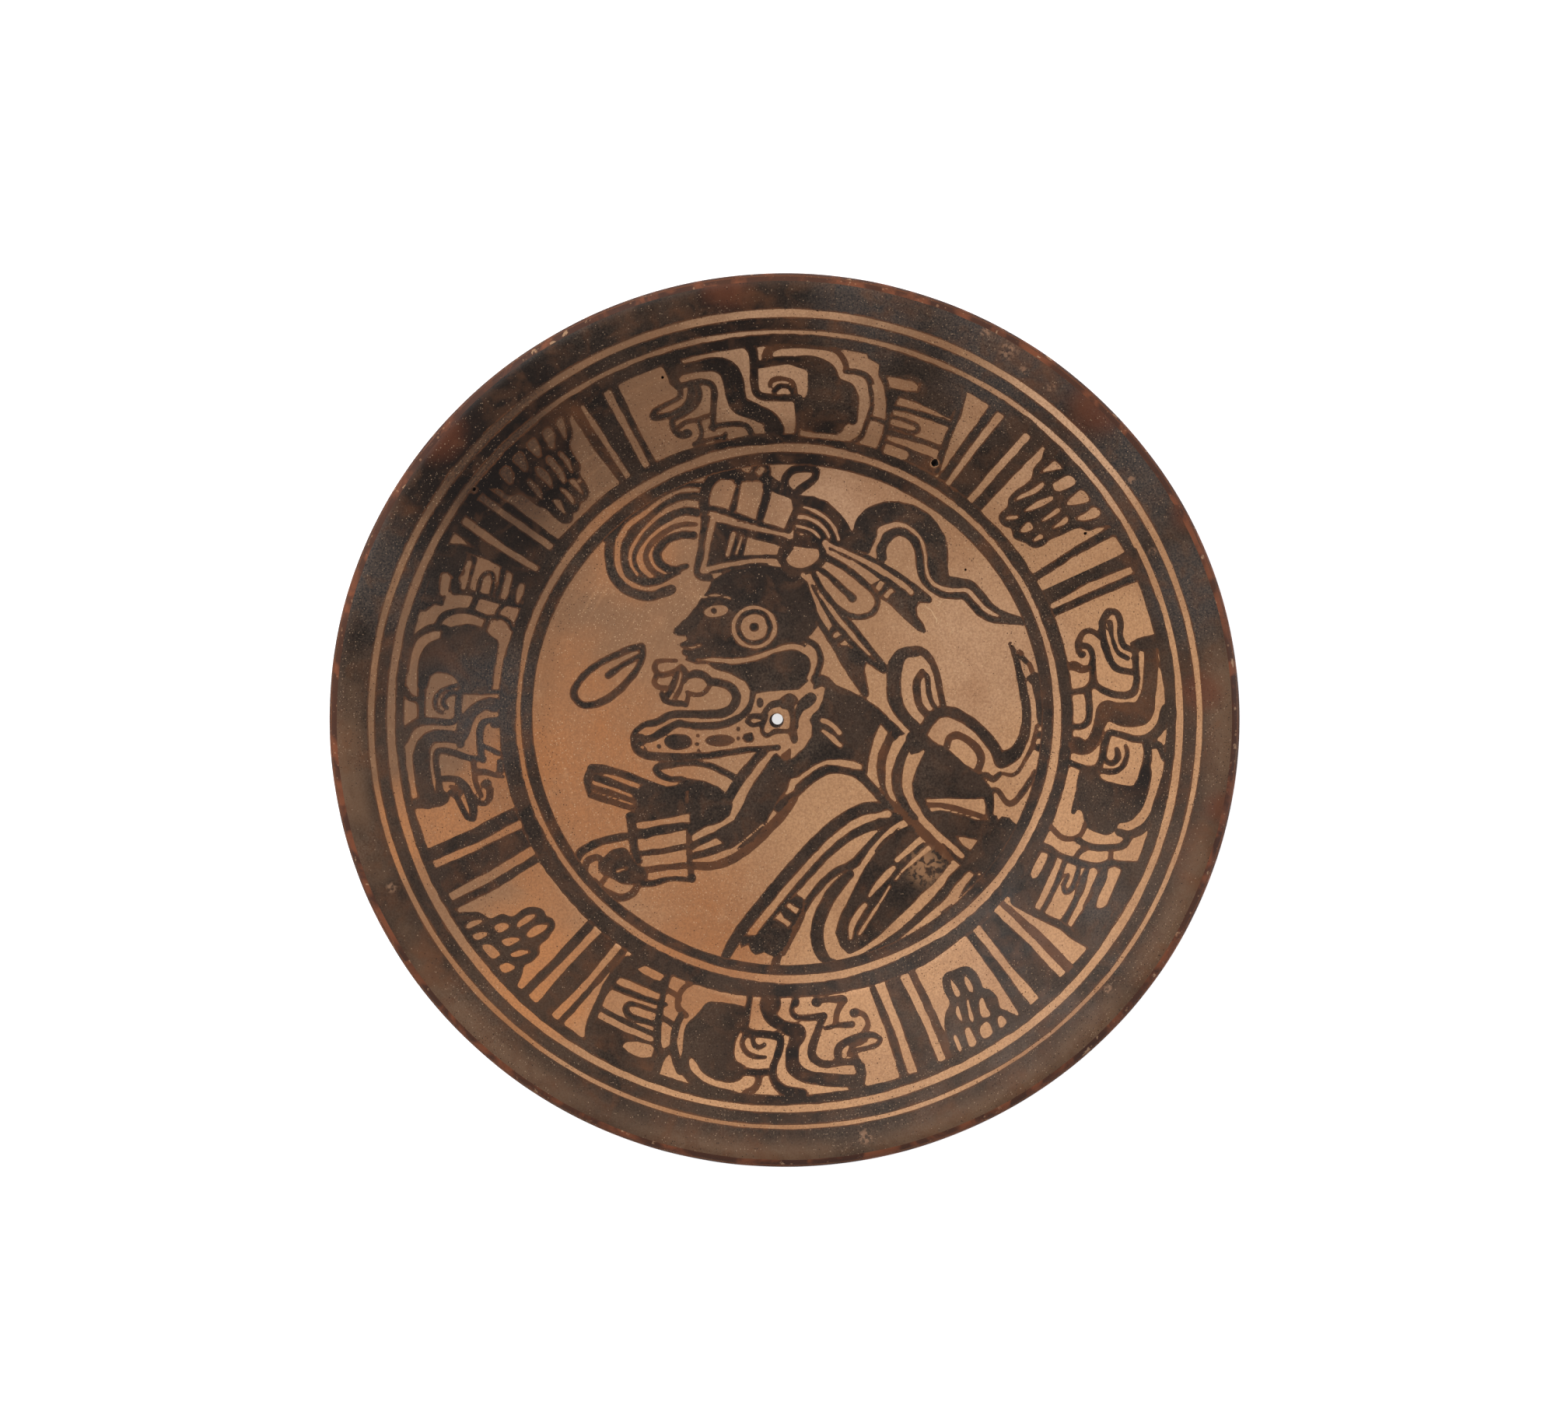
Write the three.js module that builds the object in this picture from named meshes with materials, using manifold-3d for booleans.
// A shallow painted pottery plate, coil built and fired: millimetres, +Z up, resting on z = 0.
// A flat floor slab carries two wall coils and a rim coil, lapped over each other on slanting joints.
// A buff slip coats the inside, a red slip coats the outside and the lip, and dark slip is painted over
// the buff in rings and bars. A small hole is drilled through the floor, a little off the centre.
// The origin is the middle of the resting face, and +Y is the top of the painting.
import * as THREE from "three";
import { mergeVertices } from "three/addons/utils/BufferGeometryUtils.js";
import Module from "manifold-3d";

// Rim and section of the clay
const rimWidth = 330; // across X, edge to edge
const rimDepth = 324.7; // across Y: the rim was bent a little oval before firing
const floorRadius = 84; // flat middle of the floor, and of the resting face under it
const slabThickness = 9;
const wallThickness = 7.6; // where the floor has turned into the wall
const lipThickness = 6.4;
const floorBend = 46; // radius of the inner curve from the floor into the wall
const wallSlope = THREE.MathUtils.degToRad(32);
const rimFlare = 62; // radius of the outward curve from the wall into the rim
const rimSlope = THREE.MathUtils.degToRad(15);

// Slanting joints between the slab and the three coils, which share the width that is left evenly
const slabOverhang = 7; // from the flat floor to where the first joint meets the inside of the plate
const jointLap = 6; // how much further out each joint comes through on the outside

// Slips
const innerSlip = 0.5;
const outerSlip = 0.5;
const paint = 0.3;
const coatClearance = 0.02; // between the clay and a slip, and between the buff slip and the paint over it

// Widths of the painted rings and of the bare buff lines between them, from the lip inwards
const rimBand = 8;
const outerBareLine = 3;
const outerRing = 4.5;
const middleBareLine = 2.7;
const friezeTopRing = 3.2;
const frieze = 31.6;
const friezeFootRing = 4.2;
const innerBareLine = 3.1;
const medallionRing = 3.1;

// Bars that part the frieze into four long panels and four short ones
const shortPanels = [40.3, 132.3, 217.8, 304.3].map(THREE.MathUtils.degToRad); // spaced by eye, from +X
const shortPanelSpan = THREE.MathUtils.degToRad(24.8); // between the wide bars on its two sides
const wideBar = 7.5;
const thinBar = 2.6;
const barGap = 3; // bare line between a wide bar and a thin one

// Drilled hole
const holeX = -3.4;
const holeY = -1.4;
const holeTopRadius = 2.8;
const holeFootRadius = 2;
const holeBevel = 0.8; // how much wider the slip has worn round the hole

// Facets
const turnSteps = 60; // a multiple of 4, so that the width and the depth come out exact
const floorBendSteps = 5;
const flareSteps = 3;
const lipSteps = 3; // from the inner face to the outermost line, and again to the outer face
const holeSteps = 20;

const clayColour = new THREE.MeshStandardMaterial({ color: 0xa8744c, roughness: 0.9, metalness: 0 });
const buffColour = new THREE.MeshStandardMaterial({ color: 0xb07f58, roughness: 0.5, metalness: 0 });
const redColour = new THREE.MeshStandardMaterial({ color: 0x8a4a2c, roughness: 0.55, metalness: 0 });
const darkColour = new THREE.MeshStandardMaterial({ color: 0x3e322c, roughness: 0.42, metalness: 0 });

const wasm = await Module();
wasm.setup();

// The inner face of the clay, as height and slope at a radius
const outerRadius = rimWidth / 2;
const lipRadius = lipThickness / 2;
const lipStart = outerRadius - outerSlip - lipRadius * (1 + Math.sin(rimSlope));
const bendEnd = floorRadius + floorBend * Math.sin(wallSlope);
const flareStart = lipStart - rimFlare * (Math.sin(wallSlope) - Math.sin(rimSlope));
const bendTop = slabThickness + floorBend * (1 - Math.cos(wallSlope));
const wallTop = bendTop + (flareStart - bendEnd) * Math.tan(wallSlope);
const slabJoint = floorRadius + slabOverhang;
const wallJoint = THREE.MathUtils.lerp(slabJoint, lipStart, 1 / 3);
const rimJoint = THREE.MathUtils.lerp(slabJoint, lipStart, 2 / 3);

function slopeAt(r) {
  if (r <= floorRadius) return 0;
  if (r <= bendEnd) return Math.asin((r - floorRadius) / floorBend);
  if (r <= flareStart) return wallSlope;
  return Math.asin(Math.sin(wallSlope) - (r - flareStart) / rimFlare);
}

function heightAt(r) {
  const slope = slopeAt(r);
  if (r <= bendEnd) return slabThickness + floorBend * (1 - Math.cos(slope));
  if (r <= flareStart) return bendTop + (r - bendEnd) * Math.tan(wallSlope);
  return wallTop + rimFlare * (Math.cos(slope) - Math.cos(wallSlope));
}

function clayThicknessAt(r) {
  if (r <= floorRadius) return slabThickness;
  if (r <= bendEnd) {
    return THREE.MathUtils.mapLinear(r, floorRadius, bendEnd, slabThickness, wallThickness);
  }
  return THREE.MathUtils.mapLinear(r, bendEnd, lipStart, wallThickness, lipThickness);
}

// Radii of the rings of facets that every layer shares
function facetRadii() {
  const rings = [0, floorRadius];
  for (let i = 1; i <= floorBendSteps; i++) {
    rings.push(THREE.MathUtils.lerp(floorRadius, bendEnd, i / floorBendSteps));
  }
  for (let i = 0; i <= flareSteps; i++) {
    rings.push(THREE.MathUtils.lerp(flareStart, lipStart, i / flareSteps));
  }
  return rings;
}
const radii = facetRadii();

// A point lifted off the clay's inner face along its normal; a negative lift goes into the wall.
function curvePoint(r, lift) {
  const slope = slopeAt(r);
  return new THREE.Vector2(r - lift * Math.sin(slope), heightAt(r) + lift * Math.cos(slope));
}

// The same on the flat facet between two rings, so that layers that end on it still touch face to face
function facetPoint(r, liftAt) {
  const next = Math.max(1, radii.findIndex((edge) => edge >= r - 1e-9));
  const [a, b] = [radii[next - 1], radii[next]];
  return curvePoint(a, liftAt(a)).lerp(curvePoint(b, liftAt(b)), (r - a) / (b - a));
}

// The faces of the layers, from the outside of the plate to the inside
const outerSlipFace = (r) => facetPoint(r, (edge) => -clayThicknessAt(edge) - outerSlip);
const outerSlipFoot = (r) => facetPoint(r, (edge) => -clayThicknessAt(edge) - coatClearance);
const outerFace = (r) => facetPoint(r, (edge) => -clayThicknessAt(edge));
const innerFace = (r) => facetPoint(r, () => 0);
const slipFoot = (r) => facetPoint(r, () => coatClearance);
const slipTop = (r) => facetPoint(r, () => innerSlip);
const paintFoot = (r) => facetPoint(r, () => innerSlip + coatClearance);
const paintTop = (r) => facetPoint(r, () => innerSlip + coatClearance + paint);
const abovePaint = (r) => facetPoint(r, () => innerSlip + coatClearance + 2 * paint);

// Painted edges, from the lip inwards
const rimBandInner = lipStart - rimBand;
const outerRingOuter = rimBandInner - outerBareLine;
const outerRingInner = outerRingOuter - outerRing;
const topRingOuter = outerRingInner - middleBareLine;
const friezeOuter = topRingOuter - friezeTopRing;
const friezeInner = friezeOuter - frieze;
const footRingInner = friezeInner - friezeFootRing;
const medallionRingOuter = footRingInner - innerBareLine;
const medallionRingInner = medallionRingOuter - medallionRing;

// The rings of facets from one radius out to another, with an edge at each end
function between(from, to) {
  return [from, ...radii.filter((r) => r > from + 1e-6 && r < to - 1e-6), to];
}

// The rounded lip, from the inner face over its outermost line to the outer face
function lipArc(extra) {
  const centre = curvePoint(lipStart, -lipRadius);
  const reach = lipRadius + extra;
  const turns = [];
  for (let i = 0; i <= lipSteps; i++) {
    turns.push((Math.PI / 2 + rimSlope) * (1 - i / lipSteps));
  }
  for (let i = 1; i <= lipSteps; i++) {
    turns.push(((rimSlope - Math.PI / 2) * i) / lipSteps);
  }
  return turns.map((turn) => {
    return new THREE.Vector2(centre.x + reach * Math.cos(turn), centre.y + reach * Math.sin(turn));
  });
}

function solidOf(geometry) {
  geometry.deleteAttribute("normal");
  geometry.deleteAttribute("uv");
  const merged = mergeVertices(geometry, 1e-4);
  return new wasm.Manifold(new wasm.Mesh({
    numProp: 3,
    vertProperties: new Float32Array(merged.attributes.position.array),
    triVerts: new Uint32Array(merged.index.array),
  }));
}

// Turns a closed section round the plate's axis and gives it the rim's oval. The section runs anticlockwise.
function revolve(section) {
  const onAxis = section[0].x < 1e-6;
  const points = onAxis ? section : [...section, section[0].clone()];
  const geometry = new THREE.LatheGeometry(points, turnSteps);
  geometry.rotateX(Math.PI / 2);
  geometry.scale(1, rimDepth / rimWidth, 1);
  return solidOf(geometry);
}

// A layer between two faces of the section, over a range of radii
function layer(from, to, lower, upper) {
  const span = between(from, to);
  return revolve([...span.map(lower), ...span.reverse().map(upper)]);
}

// A clay piece from one slanting joint to the next
function clayCoil(from, to) {
  const inside = between(from, to);
  const outside = between(from + jointLap, to + jointLap);
  return revolve([...outside.map(outerFace), ...inside.reverse().map(innerFace)]);
}

function drill(topRadius, footRadius) {
  const overrun = slabThickness;
  const flank = (topRadius - footRadius) / slabThickness;
  const geometry = new THREE.CylinderGeometry(
    topRadius + flank * overrun, footRadius - flank * overrun, slabThickness + 2 * overrun, holeSteps,
  );
  geometry.rotateX(Math.PI / 2);
  geometry.translate(holeX, holeY, slabThickness / 2);
  return solidOf(geometry);
}

function floorSlab() {
  const inside = between(0, slabJoint);
  const outside = between(0, slabJoint + jointLap);
  const slab = revolve([...outside.map(outerFace), ...inside.reverse().map(innerFace)]);
  return slab.subtract(drill(holeTopRadius, holeFootRadius));
}

function rimCoil() {
  const inside = between(rimJoint, lipStart);
  const outside = between(rimJoint + jointLap, lipStart);
  const lip = lipArc(0).slice(1, -1).reverse();
  return revolve([...outside.map(outerFace), ...lip, ...inside.reverse().map(innerFace)]);
}

function innerSlipCoat() {
  const coat = layer(0, lipStart, slipFoot, slipTop);
  const hole = holeTopRadius + holeBevel;
  return coat.subtract(drill(hole, hole));
}

function outerSlipCoat() {
  const span = between(slabJoint + jointLap, lipStart).slice(0, -1);
  const face = lipArc(outerSlip).reverse();
  const foot = lipArc(coatClearance);
  return revolve([...span.map(outerSlipFace), ...face, ...foot, ...span.reverse().map(outerSlipFoot)]);
}

// A straight bar across the frieze, as wide as given, beside the direction that its group points in
function barBlock(direction, aside, width) {
  const reach = friezeOuter - friezeInner + friezeFootRing + friezeTopRing;
  const tall = 2 * wallTop + rimWidth;
  const geometry = new THREE.BoxGeometry(reach, width, tall);
  geometry.translate((friezeOuter + friezeInner) / 2, aside, 0);
  geometry.rotateZ(direction);
  geometry.scale(1, rimDepth / rimWidth, 1);
  return solidOf(geometry);
}

// The paint that frames the frieze: a ring above it, a ring below it, and the bars between its panels
function friezeFrame() {
  const thinAside = wideBar / 2 + barGap + thinBar / 2;
  const blocks = [];
  for (const shortPanel of shortPanels) {
    for (const side of [-1, 1]) {
      const direction = shortPanel + (side * shortPanelSpan) / 2;
      blocks.push(barBlock(direction, 0, wideBar));
      blocks.push(barBlock(direction, thinAside, thinBar));
      blocks.push(barBlock(direction, -thinAside, thinBar));
    }
  }
  const bars = wasm.Manifold.union(blocks);
  const panels = layer(friezeInner, friezeOuter, innerFace, abovePaint).subtract(bars);
  return layer(footRingInner, topRingOuter, paintFoot, paintTop).subtract(panels);
}

function mesh(name, solid, material) {
  const made = solid.getMesh();
  const geometry = new THREE.BufferGeometry();
  geometry.setAttribute("position", new THREE.BufferAttribute(made.vertProperties, 3));
  geometry.setIndex(new THREE.BufferAttribute(made.triVerts, 1));
  geometry.computeVertexNormals();
  const piece = new THREE.Mesh(geometry, material);
  piece.name = name;
  return piece;
}

const plate = new THREE.Group();
plate.name = "painted_plate";
plate.add(
  mesh("floor_slab", floorSlab(), clayColour),
  mesh("lower_wall_coil", clayCoil(slabJoint, wallJoint), clayColour),
  mesh("upper_wall_coil", clayCoil(wallJoint, rimJoint), clayColour),
  mesh("rim_coil", rimCoil(), clayColour),
  mesh("inner_buff_slip", innerSlipCoat(), buffColour),
  mesh("outer_red_slip", outerSlipCoat(), redColour),
  mesh("rim_band_paint", layer(rimBandInner, lipStart, paintFoot, paintTop), darkColour),
  mesh("outer_ring_paint", layer(outerRingInner, outerRingOuter, paintFoot, paintTop), darkColour),
  mesh("frieze_frame_paint", friezeFrame(), darkColour),
  mesh("medallion_ring_paint", layer(medallionRingInner, medallionRingOuter, paintFoot, paintTop), darkColour),
);

export default plate;
